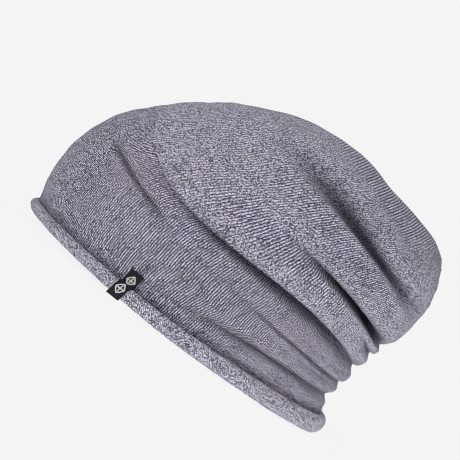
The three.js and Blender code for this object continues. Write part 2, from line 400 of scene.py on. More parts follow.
PLAIN_LOOK = (0.0, 0.8, 0.0)


@dataclass(frozen=True)
class KnitLooks:
    """Where the crown's knit is loose, open between its columns, and painted with crease shade.

    A cell is a place among the creases, whole numbers on them, and a share is one of the half
    turn from nape to forehead. Ramps are over levels, shares, places up a lobe, or how far the
    knit is pressed in.
    """

    loose_cell: int = 3
    loose_spreads: tuple = (0.15, 0.8)
    spread_grows: Ramp = Ramp(0.55, 0.2)
    slouch_levels: Ramp = Ramp(0.62, 0.08)
    slouch_shares: Ramp = Ramp(0.27, 0.1)
    wide_lobe_end: int = 5
    slope_lines: Ramp = Ramp(0.25, 0.2)
    lines_start: Ramp = Ramp(0.14, 0.16)
    lines_stop: Ramp = Ramp(0.72, -0.2)
    slope_gaps: float = 0.85
    back_levels: Ramp = Ramp(0.65, 0.04)
    back_stop: Ramp = Ramp(0.97, -0.1)
    back_shares: Ramp = Ramp(0.3, 0.15)
    band_gaps: tuple = (0.7, 1.0)
    band_opens: Ramp = Ramp(0.15, 0.2)
    rest_gaps: float = 0.25
    rest_levels: Ramp = Ramp(0.36, 0.06)
    front_gaps: float = 0.85
    front_closes: Ramp = Ramp(0.8, 0.15)
    # Painted shade: darker where pressed in, in grooves, near the rim and beside creases.
    painted_press_shade: Ramp = Ramp(0.0, 0.0135)
    painted_pit_shade: Ramp = Ramp(0.0135, 0.005)
    painted_groove_shade: Ramp = Ramp(0.0, 0.0035)
    painted_rim_shade: float = 0.5
    rim_levels: Ramp = Ramp(0.03, -0.03)
    painted_crease_shade: float = 0.7
    crease_spread: float = 0.08
    full_depth: float = 0.4

    def loose(self, cell: np.ndarray, level: np.ndarray, share: np.ndarray) -> np.ndarray:
        """How loose the knit is: 0 where it is tight, 1 above the middle crease, 2 on the slouch.

        Args:
            cell: cells as rows x 1.
            level: levels as rows x columns.
            share: shares, one for each column.

        Returns:
            The looseness as rows x columns.
        """
        spread = mix(*self.loose_spreads, self.spread_grows.at(share))
        above = smooth((cell - self.loose_cell) / (2 * spread) + 0.5)
        return above + self.slouch_levels.at(level) * self.slouch_shares.at(share)

    def gaps(self, cell: np.ndarray, level: np.ndarray, share: np.ndarray) -> np.ndarray:
        """How open the columns are: open on the lobes' upper slopes, nearly closed below.

        Args:
            cell: cells as rows x 1.
            level: levels as rows x columns.
            share: shares, one for each column.

        Returns:
            The openness as rows x columns, from 0 to 1.
        """
        wide, top = self.wide_lobe_end, len(FOLDS)
        up_wide = (cell - self.loose_cell) / (wide - self.loose_cell)
        up_lobe = np.select([cell < wide, cell < top], [up_wide, cell - wide], 0.0)
        slopes = self.slope_lines.at(up_lobe) * self.lines_stop.at(share)
        slopes = slopes * self.lines_start.at(share)
        back = self.back_levels.at(level) * self.back_stop.at(level) * self.back_shares.at(share)
        band = mix(*self.band_gaps, self.band_opens.at(share))
        rest = self.rest_gaps * self.rest_levels.at(level)
        upper = np.maximum(mix(rest, self.slope_gaps, slopes), back)
        front = mix(1.0, self.front_gaps, self.front_closes.at(share))
        return np.where(cell < self.loose_cell, band, upper) * front

    def crease(self, cell: np.ndarray, level: np.ndarray, press: np.ndarray,
               grooves: np.ndarray, strengths: list) -> np.ndarray:
        """Painted shade on the knit, in and beside the creases, the grooves and the rim.

        Args:
            cell: cells as rows x 1.
            level: levels as rows x columns.
            press: how far each point is pressed in by the folds.
            grooves: how far it is pressed in by the small grooves.
            strengths: for each fold, the share of its depth left at each column.

        Returns:
            The painted shade as rows x columns.
        """
        shade = np.maximum(self.painted_press_shade.at(press), self.painted_groove_shade.at(grooves))
        shade = shade + self.painted_pit_shade.at(press)
        shade = np.maximum(shade, self.painted_rim_shade * self.rim_levels.at(level))
        for index, (fold, left) in enumerate(zip(FOLDS, strengths)):
            strength = clamp01(fold.depth * left / self.full_depth)
            near = np.exp(-((cell - index - 1) / self.crease_spread + 0.5) ** 2)
            shade = np.maximum(shade, self.painted_crease_shade * near * strength)
        return shade


def add_object(name: str, data: bpy.types.ID) -> bpy.types.Object:
    """Makes an object and links it to the scene.

    Args:
        name: name of the object.
        data: its mesh, light or camera.

    Returns:
        The new object.
    """
    added = bpy.data.objects.new(name, data)
    bpy.context.scene.collection.objects.link(added)
    return added


@dataclass
class SheetMesh:
    """Collects the points, faces and stitch coordinates of one piece."""

    points: list = field(default_factory=list)
    faces: list = field(default_factory=list)
    corners: list = field(default_factory=list)
    finishes: list = field(default_factory=list)
    looks: list = field(default_factory=list)
    count: int = 0

    def add_points(self, points: np.ndarray, looks: np.ndarray | None = None) -> np.ndarray:
        """Adds points with the knit's looks at each.

        Args:
            points: any shape that ends in 3.
            looks: shares of loose stitches, open column gaps and painted crease shade, same shape.

        Returns:
            The indices of the points, in the shape of the grid.
        """
        flat = np.asarray(points, float).reshape(-1, 3)
        indices = np.arange(self.count, self.count + len(flat)).reshape(points.shape[:-1])
        self.points.append(flat)
        kept = np.tile(PLAIN_LOOK, (len(flat), 1)) if looks is None else looks.reshape(-1, 3)
        self.looks.append(kept)
        self.count += len(flat)
        return indices

    def add_quads(self, grid: np.ndarray, uv: np.ndarray, finish: int = 0) -> None:
        """Joins a grid of indices with four-sided faces.

        Args:
            grid: indices as rows x columns, the last column beside the first one's copy.
            uv: stitch coordinates as rows x columns x 2, of the same grid.
            finish: index of the finish that the faces take.
        """
        quads = np.stack([grid[:-1, :-1], grid[1:, :-1], grid[1:, 1:], grid[:-1, 1:]], axis=-1)
        places = np.stack([uv[:-1, :-1], uv[1:, :-1], uv[1:, 1:], uv[:-1, 1:]], axis=-2)
        self.faces.append(quads.reshape(-1, 4))
        self.corners.append(places.reshape(-1, 2))
        self.finishes.append(np.full(len(quads.reshape(-1, 4)), finish))

    def build(self, name: str, materials: list) -> bpy.types.Object:
        """Makes the object, smooth shaded.

        Args:
            name: name of the piece.
            materials: its finishes, in the order of their indices.

        Returns:
            The new object, linked to the scene.
        """
        mesh = bpy.data.meshes.new(name)
        points = np.concatenate(self.points)
        faces = np.concatenate(self.faces)
        mesh.vertices.add(len(points))
        mesh.vertices.foreach_set("co", points.astype(np.float32).ravel())
        mesh.loops.add(faces.size)
        mesh.loops.foreach_set("vertex_index", faces.astype(np.int32).ravel())
        mesh.polygons.add(len(faces))
        mesh.polygons.foreach_set("loop_start", np.arange(0, faces.size, 4, dtype=np.int32))
        mesh.polygons.foreach_set("use_smooth", np.ones(len(faces), dtype=bool))
        mesh.polygons.foreach_set("material_index",
                                  np.concatenate(self.finishes).astype(np.int32))
        layer = mesh.uv_layers.new(name="stitches")
        layer.data.foreach_set("uv", np.concatenate(self.corners).astype(np.float32).ravel())
        looks = mesh.attributes.new("looks", "FLOAT_VECTOR", "POINT")
        looks.data.foreach_set("vector", np.concatenate(self.looks).astype(np.float32).ravel())
        mesh.update()
        mesh.validate()
        for material in materials:
            mesh.materials.append(material)
        return add_object(name, mesh)


def close_columns(grid: np.ndarray) -> np.ndarray:
    """Repeats the first column of a grid after its last."""
    return np.concatenate([grid, grid[:, :1]], axis=1)


class Graph:
    """Nodes of a material or a world, made and joined one by one."""

    def __init__(self, owner: bpy.types.ID) -> None:
        """Starts with an empty node tree.

        Args:
            owner: the material or the world.
        """
        owner.use_nodes = True
        self.tree = owner.node_tree
        self.tree.nodes.clear()

    def feed(self, socket: bpy.types.NodeSocket, value: object) -> None:
        """Links a socket, or sets its value.

        Args:
            socket: the input.
            value: the output to link to it, or the value to set.
        """
        if isinstance(value, bpy.types.NodeSocket):
            self.tree.links.new(value, socket)
        else:
            socket.default_value = value

    def node(self, kind: str, inputs: dict, **settings: object) -> bpy.types.Node:
        """Adds one node.

        Args:
            kind: type of the node.
            inputs: what its inputs are fed with, by their names or places.
            **settings: values of its properties, by their names.

        Returns:
            The new node.
        """
        added = self.tree.nodes.new(kind)
        for name, value in settings.items():
            setattr(added, name, value)
        for key, value in inputs.items():
            self.feed(added.inputs[key], value)
        return added

    def math(self, operation: str, *values: object) -> bpy.types.NodeSocket:
        """Result of an operation on numbers."""
        return self.node("ShaderNodeMath", dict(enumerate(values)), operation=operation).outputs[0]

    def wave(self, operation: str, value: object, factor: float) -> bpy.types.NodeSocket:
        """Sine or cosine of a value times a factor."""
        return self.math(operation, self.math("MULTIPLY", value, factor))

    def ease(self, value: object, low: float, high: float) -> bpy.types.NodeSocket:
        """Goes smoothly from 0 at low to 1 at high."""
        inputs = {"Value": value, "From Min": low, "From Max": high}
        return self.node("ShaderNodeMapRange", inputs, interpolation_type="SMOOTHSTEP").outputs[0]

    def blend(self, share: object, low: object, high: object) -> bpy.types.NodeSocket:
        """Mixes two numbers by a share."""
        inputs = {0: share, 2: low, 3: high}
        return self.node("ShaderNodeMix", inputs, data_type="FLOAT").outputs[0]

    def tint(self, share: object, low: object, high: object) -> bpy.types.NodeSocket:
        """Mixes two colours by a share."""
        inputs = {0: share, 6: low, 7: high}
        return self.node("ShaderNodeMix", inputs, data_type="RGBA").outputs[2]

    def tone(self, colour: object, value: object, strength: object) -> bpy.types.NodeSocket:
        """Changes how bright and how strong a colour is, each by a factor."""
        inputs = {"Color": colour, "Value": value, "Saturation": strength}
        return self.node("ShaderNodeHueSaturation", inputs).outputs[0]

    def dot(self, place: object, way: tuple) -> bpy.types.NodeSocket:
        """Dot product of two vectors."""
        inputs = {0: place, 1: way}
        return self.node("ShaderNodeVectorMath", inputs, operation="DOT_PRODUCT").outputs["Value"]

    def noise(self, place: object, scale: float, detail: float) -> bpy.types.NodeSocket:
        """Smooth noise from 0 to 1, at so many waves in a metre."""
        inputs = {"Vector": place, "Scale": scale, "Detail": detail}
        return self.node("ShaderNodeTexNoise", inputs, noise_dimensions="3D").outputs["Fac"]

    def cell_shade(self, u: object, v: object) -> bpy.types.NodeSocket:
        """A random shade from 0 to 1 for each cell of a grid, two cells to a unit either way.

        Args:
            u: place along one side of the grid.
            v: place along the other.

        Returns:
            The shade.
        """
        sides = [self.math("FLOOR", self.math("MULTIPLY", way, 2.0)) for way in (u, v)]
        cell = self.node("ShaderNodeCombineXYZ", dict(enumerate(sides))).outputs[0]
        noise = self.node("ShaderNodeTexWhiteNoise", {"Vector": cell}, noise_dimensions="2D")
        return noise.outputs["Value"]

    def split(self, vector: bpy.types.NodeSocket) -> tuple:
        """The three numbers of a vector."""
        return tuple(self.node("ShaderNodeSeparateXYZ", {0: vector}).outputs)

    def stitch_place(self) -> tuple:
        """Places across and along the stitches."""
        return self.split(self.node("ShaderNodeUVMap", {}, uv_map="stitches").outputs[0])[:2]

    def surface(self, colour: object, height: object, relief: float, settings: dict) -> None:
        """Ends a material with a shaded surface in low relief.

        Args:
            colour: colour of the surface.
            height: height of the relief, from 0 to 1.
            relief: how far a height of 1 stands out, in metres.
            settings: numbers that are the same all over, by the names of their sockets.
        """
        bump = self.node("ShaderNodeBump", {"Strength": 1.0, "Distance": relief, "Height": height})
        shader = self.node("ShaderNodeBsdfPrincipled",
                           {"Base Color": colour, "Normal": bump.outputs[0], **settings})
        self.node("ShaderNodeOutputMaterial", {0: shader.outputs[0]})


def rgba(colour: tuple) -> tuple:
    """Adds full opacity to a colour."""
    return (*colour, 1.0)


@dataclass(frozen=True)
class KnitFinish:
    """Heather knit: strands of light and dark yarn in stitches, matt and slightly fuzzy.

    loose_share is the columns' count where the knit is stretched, as a share of the tight
    knit's. tip_columns counts the columns of the slouch's sides along each axis, for a metre.
    A tuple whose name ends in gap or rise says where something is 0 and where it is 1.
    """

    name: str
    stitch: Stitch
    light: tuple = (0.86, 0.82, 0.985)
    middle: tuple = (0.05, 0.045, 0.075)
    # dark is for the gaps and joints: partly the knit's pattern, partly painted shade.
    dark: tuple = (0.016, 0.0125, 0.034)
    open_light: float = 1.14
    fuzz_scale: float = 1250.0
    fuzz_share: float = 0.5
    joint_depth: float = 0.3
    stitch_slant: float = 0.6
    column_gap: tuple = (0.4, 0.9)
    stitch_rise: tuple = (0.0, 0.8)
    loop_bend: float = 0.27
    bead_share: float = 0.3
    loop_gap: tuple = (0.65, 0.1)
    fuzz_rise: tuple = (0.4, 0.6)
    grain_rise: tuple = (0.3, 0.7)
    joint_rise: tuple = (0.7, 0.0)
    noise_detail: float = 2.0
    ragged: float = 1.2
    closed_gap: float = 0.25
    open_gap: float = 0.97
    # Painted crease shade: how dark it gets, and how much it strengthens the colour.
    painted_crease_shade: float = 0.28
    painted_shade_saturation: float = 1.5
    loose_share: float = 0.66
    tip_columns: tuple = (-497.0, 0.0, 350.0)
    ragged_scale: float = 250.0
    turn_width: float = 0.05
    cloud_scale: float = 60.0
    cloud_depth: float = 0.3
    relief: float = 0.0005
    roughness: float = 0.95
    specular: float = 0.15
    sheen: float = 0.08
    sheen_roughness: float = 0.6

    def stockinette(self, graph: Graph, u: object, v: object) -> tuple:
        """Gaps and height of columns of V-shaped stitches.

        Args:
            graph: the material's nodes.
            u: place across the columns, one column a unit.
            v: place along the columns, one stitch a unit.

        Returns:
            Depth in the gaps between columns and height of the stitches, both from 0 to 1, and
            place along the slanted strands.
        """
        across = graph.math("FRACT", u)
        off_middle = graph.math("ABSOLUTE", graph.math("SUBTRACT", across, 0.5))
        side = graph.math("MULTIPLY", off_middle, 2.0)
        slanted = graph.math("SUBTRACT", v, graph.math("MULTIPLY", side, self.stitch_slant))
        stitch = graph.math("ABSOLUTE", graph.wave("SINE", slanted, math.pi))
        gap = graph.ease(side, *self.column_gap)
        height = graph.math("MULTIPLY", graph.math("SUBTRACT", 1.0, gap),
                            graph.ease(stitch, *self.stitch_rise))
        return gap, height, slanted

    def purl(self, graph: Graph, u: object, v: object) -> tuple:
        """Gaps, height and random shade of rows of interlocking loops.

        Args:
            graph: the material's nodes.
            u: place across the columns, one column a unit.
            v: place along the columns, one stitch a unit.

        Returns:
            Depth in the gaps between loops, height of the loops, both from 0 to 1, and a random
            shade for each loop.
        """
        wave = graph.wave("COSINE", u, 2 * math.pi)
        shifted = graph.math("ADD", v, graph.math("MULTIPLY", wave, self.loop_bend))
        row = graph.math("ABSOLUTE", graph.wave("SINE", shifted, math.pi))
        bead = graph.math("ABSOLUTE", graph.wave("SINE", u, math.pi))
        height = graph.math("MULTIPLY", row, graph.blend(self.bead_share, 1.0, bead))
        gap = graph.ease(height, *self.loop_gap)
        return gap, height, graph.cell_shade(u, shifted)

    def crown_stitches(self, graph: Graph, u: object, v: object, place: object,
                       loose: object) -> tuple:
        """Stitches that turn to a looser count, and on the slouch to straight columns.

        Args:
            graph: the material's nodes.
            u: place across the tight columns, one column a unit.
            v: place along the columns, one stitch a unit.
            place: place in the object.
            loose: how loose the knit is, from 0 to 2.

        Returns:
            Depth in the gaps, height of the stitches and a random shade for each strand.
        """
        gap, height, slanted = self.stockinette(graph, u, v)
        shade = graph.cell_shade(u, slanted)
        ragged = graph.noise(place, self.ragged_scale, self.noise_detail)
        ragged = graph.math("ADD", loose, graph.math("MULTIPLY", ragged, self.ragged))
        columns = (graph.math("MULTIPLY", u, self.loose_share),
                   graph.dot(place, self.tip_columns))
        for stage, column in enumerate(columns):
            turned = stage + 0.5 + self.ragged / 2
            share = graph.ease(ragged, turned - self.turn_width, turned + self.turn_width)
            next_gap, next_height, _ = self.stockinette(graph, column, v)
            gap = graph.blend(share, gap, next_gap)
            height = graph.blend(share, height, next_height)
        return gap, height, shade

    def colour(self, graph: Graph, place: object, stitches: tuple, gaps: object,
               crease: object) -> bpy.types.NodeSocket:
        """Colour of the yarn, with painted shade in the creases and partly in the gaps and joints.

        Args:
            graph: the material's nodes.
            place: place in the object.
            stitches: the three from crown_stitches or purl.
            gaps: how open the columns are, from 0 to 1.
            crease: how much painted shade the knit takes, from the creases, grooves and rim.

        Returns:
            The colour.
        """
        gap, height, shade = stitches
        fuzz = graph.ease(graph.noise(place, self.fuzz_scale, self.noise_detail), *self.fuzz_rise)
        grain = graph.ease(graph.blend(self.fuzz_share, shade, fuzz), *self.grain_rise)
        lit = graph.tint(grain, rgba(self.middle), rgba(self.light))
        # The joints and, below, the gaps darken: partly the knit's pattern, partly painted shade.
        joint = graph.ease(height, *self.joint_rise)
        joint = graph.math("MULTIPLY", joint, self.joint_depth)
        lit = graph.tint(joint, lit, rgba(self.dark))
        lit = graph.tone(lit, graph.blend(gaps, 1.0, self.open_light), 1.0)
        depth = graph.math("MULTIPLY", gap, graph.blend(gaps, self.closed_gap, self.open_gap))
        yarn = graph.tint(depth, lit, rgba(self.dark))
        cloud = graph.noise(place, self.cloud_scale, self.noise_detail)
        cloud_and_painted_shade = graph.math("ADD", 1.0 - self.cloud_depth / 2,
                           graph.math("MULTIPLY", cloud, self.cloud_depth))
        # Painted shade: darker and more saturated where the crease value is high.
        cloud_and_painted_shade = graph.math("MULTIPLY", cloud_and_painted_shade, graph.math("POWER", self.painted_crease_shade, crease))
        return graph.tone(yarn, cloud_and_painted_shade, graph.blend(crease, 1.0, self.painted_shade_saturation))

    def build(self) -> bpy.types.Material:
        """Makes the material.

        Returns:
            The new material.
        """
        material = bpy.data.materials.new(self.name)
        graph = Graph(material)
        u, v = graph.stitch_place()
        place = graph.node("ShaderNodeTexCoord", {}).outputs["Object"]
        looks = graph.node("ShaderNodeAttribute", {}, attribute_name="looks")
        # The third number of the looks is the painted crease shade.
        loose, gaps, crease = graph.split(looks.outputs["Vector"])
        if self.stitch is Stitch.STOCKINETTE:
            stitches = self.crown_stitches(graph, u, v, place, loose)
        else:
            stitches = self.purl(graph, u, v)
        yarn = self.colour(graph, place, stitches, gaps, crease)
        settings = {"Roughness": self.roughness, "Specular IOR Level": self.specular,
                    "Sheen Weight": self.sheen, "Sheen Roughness": self.sheen_roughness}
        graph.surface(yarn, stitches[1], self.relief, settings)
        return material


@dataclass(frozen=True)
class TapeFinish:
    """Tightly woven satin tape: fine ribs across it and a soft gloss along its threads."""

    name: str
    colour: tuple
    ribs: float = 2600.0
    dim_share: float = 0.45
    roughness: float = 0.55
    specular: float = 0.25
    relief: float = 0.00012

    def build(self) -> bpy.types.Material:
        """Makes the material.

        Returns:
            The new material.
        """
        material = bpy.data.materials.new(self.name)
        graph = Graph(material)
        across, along = graph.stitch_place()
        rib = graph.wave("SINE", along, 2 * math.pi * self.ribs)
        warp = graph.wave("SINE", across, 2 * math.pi * self.ribs)
        height = graph.math("ADD", graph.math("MULTIPLY", graph.math("ADD", rib, warp), 0.25), 0.5)
        dim = tuple(channel * self.dim_share for channel in self.colour)
        weave = graph.tint(height, rgba(dim), rgba(self.colour))
        graph.surface(weave, height, self.relief,
                      {"Roughness": self.roughness, "Specular IOR Level": self.specular})
        return material


@dataclass(frozen=True)
class WaleDrift:
    """How far the columns of stitches have leaned at a level, in radians towards the nape.

    side is the lean halfway round, and nape is added halfway from there to the nape.
    """

    level: float
    side: float
    nape: float


WALE_DRIFTS = (
    WaleDrift(0.0, 0.0, 0.0),
    WaleDrift(0.1, 0.08, 0.03),
    WaleDrift(0.24, 0.08, 0.03),
    WaleDrift(0.3, 0.11, 0.02),
    WaleDrift(0.4, 0.11, -0.07),
    WaleDrift(0.5, 0.19, 0.0),
    WaleDrift(0.6, 0.28, 0.07),
    WaleDrift(0.66, 0.30, 0.10),
    WaleDrift(0.76, 0.20, 0.08),
    WaleDrift(1.0, 0.10, 0.0),
)


@dataclass
class Crown:
    """The hollow knit body, from its foot in the roll to the tip of the slouch.

    wales is the count of columns of stitches round it, and course the length of a stitch. The
    inside takes one row out of inner_step. A pucker fades in and out over shares of the half
    turn, and the ripple is a faint unevenness between the rim and the tip.
    """

    form: BeanieForm
    outside: bpy.types.Material
    inside: bpy.types.Material
    columns: int = 288
    wales: int = 464
    course: float = 0.0011
    foot_rows: int = 3
    inner_step: int = 3
    pucker_starts: float = 0.12
    pucker_stops: float = 0.15
    ripple: float = 0.00025
    ripple_counts: tuple = (95.0, 41.0)
    ripple_sway: float = 3.0
    ripple_phase: float = 1.3
    ripple_twist: float = 5.0
    ripple_starts: Ramp = Ramp(0.0, 0.05)
    ripple_stops: Ramp = Ramp(1.0, -0.1)
    knit_looks: KnitLooks = KnitLooks()

    def folded_rows(self) -> tuple:
        """Rows of points from the rim to just below the tip, with the folds pressed in.

        Returns:
            Points as rows x columns x 3, their levels as rows x columns, the place of each row
            among the creases, whole numbers on the creases, and how far each point is pressed
            in, as rows x columns.
        """
        turn = even_turns(self.columns)
        levels, presses, hangs, cells = [], [], [], []
        lower = None
        for index in range(len(FOLDS) + 1):
            upper = FOLDS[index] if index < len(FOLDS) else None
            steps = upper.steps if upper else STEPS_TO_TIP
            low = self.form.crease_level(lower, turn) if lower else np.zeros_like(turn)
            high = self.form.crease_level(upper, turn) if upper else np.ones_like(turn)
            for step in range(steps):
                even = step / steps
                share = even - ROW_CROWDING * math.sin(2 * math.pi * even) / (2 * math.pi)
                press, hang = self.fold_shift(lower, upper, share, turn)
                levels.append(mix(low, high, share))
                presses.append(press)
                hangs.append(hang)
                cells.append(index + share)
            lower = upper
        level = np.array(levels)
        base = self.form.base_points(level, turn)
        normals = grid_normals(base)
        press = np.array(presses) - self.pucker_height(level, turn)
        below = np.concatenate([base[:1], base[:-1]])
        down = unit(below - base)
        points = base - normals * press[..., None] + down * np.array(hangs)[..., None]
        return points, level, np.array(cells), np.array(presses)

    def fold_shift(self, lower: Fold, upper: Fold, share: float, turn: np.ndarray) -> tuple:
        """How far points are pressed in and hang down between two creases.

        Args:
            lower: the fold below, or None.
            upper: the fold above, or None.
            share: share of the way from the lower crease to the upper one.
            turn: turns from the nape, one for each column.

        Returns:
            The press and the hang at each turn.
        """
        form = self.form
        press = np.zeros_like(turn)
        hang = np.zeros_like(turn)
        if lower:
            place = clamp01(share / (form.lobe_crest * form.slope_share(lower.above, turn)))
            strength = lower.depth * form.fold_strength(lower, turn)
            round_edge = 1.0 - np.sqrt(1.0 - (1.0 - place) ** 2)
            press += form.fold_depth * strength * mix(round_edge, 1.0 - smooth(place),
                                                      lower.softness)
            hang += form.fold_lip * np.minimum(strength, form.most_lip) * np.sin(math.pi * place)
        if upper:
            run = (1.0 - form.lobe_crest) * form.slope_share(upper.below, turn)
            strength = upper.depth * form.fold_strength(upper, turn)
            floor = upper.floor * smooth(form.towards_front(turn) / form.floor_from)
            place = ((1.0 - share) / run - floor) / (1.0 - floor)
            press += form.fold_depth * strength * (1.0 - smooth(place))
        return press, hang

    def pucker_height(self, level: np.ndarray, turn: np.ndarray) -> np.ndarray:
        """Height of the small ridges and grooves, with a faint ripple.

        Args:
            level: levels as rows x columns.
            turn: turns from the nape, one for each column.

        Returns:
            Heights as rows x columns.
        """
        share = nape_share(turn)
        total = np.zeros_like(level)
        side = np.sin(turn) ** 2
        for pucker in PUCKERS:
            line = mix(mix(pucker.nape, pucker.front, share), pucker.side, side)
            fade = Ramp(pucker.start, self.pucker_starts).at(share)
            fade = fade * Ramp(pucker.end, -self.pucker_stops).at(share)
            total += pucker.height * fade * np.exp(-((level - line) / pucker.spread) ** 2)
        fine, broad = self.ripple_counts
        sway = self.ripple_sway * np.sin(2 * turn)
        waves = np.sin(level * fine + sway + self.ripple_phase)
        waves = waves * np.sin(level * broad + self.ripple_twist * turn)
        waves = self.ripple * waves * self.ripple_starts.at(level) * self.ripple_stops.at(level)
        return total + waves

    def looks(self, cells: np.ndarray, press: np.ndarray, level: np.ndarray) -> np.ndarray:
        """Looks of the knit at each point, with its painted crease shade.

        Args:
            cells: place of each row among the creases, whole numbers on the creases.
            press: how far each point is pressed in, as rows x columns.
            level: levels of the points, as rows x columns.

        Returns:
            The looks as rows x columns x 3.
        """
        turn = even_turns(self.columns)
        share = nape_share(turn)
        cell = cells[:, None]
        grooves = -self.pucker_height(level, turn)
        strengths = [self.form.fold_strength(fold, turn) for fold in FOLDS]
        knit = self.knit_looks
        return np.stack([knit.loose(cell, level, share), knit.gaps(cell, level, share),
                         knit.crease(cell, level, press, grooves, strengths)], axis=-1)

    def foot(self) -> np.ndarray:
        """Rows that stand straight in the roll's seat, up to the rim.

        Returns:
            Points as rows x columns x 3.
        """
        turn = even_turns(self.columns)
        rim = self.form.rim_points(turn)
        seat = self.form.roll_lift(turn) + self.form.roll_height(turn) * self.form.seat_share
        bottom = rim.copy()
        bottom[:, 2] = seat + self.form.gap
        shares = np.arange(self.foot_rows) / self.foot_rows
        return np.array([mix(bottom, rim, share) for share in shares])

    def build(self) -> bpy.types.Object:
        """Makes the crown as one closed sheet with an outside and an inside.

        Returns:
            The crown, riding on the body.
        """
        form = self.form
        turn = even_turns(self.columns)
        folded, level, cells, press = self.folded_rows()
        outer = np.concatenate([self.foot(), folded])
        level = np.concatenate([np.zeros((self.foot_rows, self.columns)), level])
        cells = np.concatenate([np.zeros(self.foot_rows), cells])
        normals = grid_normals(outer)
        normals[:self.foot_rows + 1] = form.rim_normal(turn)
        inner = outer - normals * form.wall

        tip = form.section_points(turn)[-1, 0]
        lean = unit(outer[-1].mean(axis=0) - tip)
        outer_tip = np.repeat(tip[None, None], self.columns, axis=1)
        inner_tip = outer_tip + lean * form.wall
        outer = np.concatenate([outer, outer_tip])
        inner = np.concatenate([inner[::self.inner_step], inner_tip])
        level = np.concatenate([level, np.ones((1, self.columns))])
        inner_level = np.concatenate([level[:-1:self.inner_step], level[-1:]])

        sheet = SheetMesh()
        press = np.pad(press, ((self.foot_rows, 1), (0, 0)))
        looks = self.looks(np.append(cells, len(FOLDS) + 1.0), press, level)
        outer_grid = close_columns(sheet.add_points(outer, looks))
        inner_grid = close_columns(sheet.add_points(inner))
        places = self.stitch_places(outer, level)
        sheet.add_quads(outer_grid, places, 0)
        sheet.add_quads(inner_grid[::-1], self.stitch_places(inner, inner_level)[::-1], 1)
        sheet.add_quads(np.stack([inner_grid[0], outer_grid[0]]), places[:2], 1)
        piece = sheet.build("knit_crown", [self.outside, self.inside])
        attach(piece, BODY)
        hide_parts("crown")
        return piece

    def stitch_places(self, grid: np.ndarray, level: np.ndarray) -> np.ndarray:
        """Stitch coordinates of a closed grid: columns of stitches round, courses up.

        Args:
            grid: points as rows x columns x 3.
            level: their levels as rows x columns.

        Returns:
            Coordinates as rows x (columns + 1) x 2.
        """
        along = close_columns(running_length(grid)) / self.course
        turn = np.append(even_turns(grid.shape[1]), 2 * math.pi)
        closed = close_columns(level)
        knots = [row.level for row in WALE_DRIFTS]
        side = np.interp(closed, knots, [row.side for row in WALE_DRIFTS]) * np.sin(turn)
        nape = np.interp(closed, knots, [row.nape for row in WALE_DRIFTS]) * np.sin(2 * turn)
        around = (turn + side + nape) / (2 * math.pi) * self.wales
        return np.stack([around, along], axis=-1)


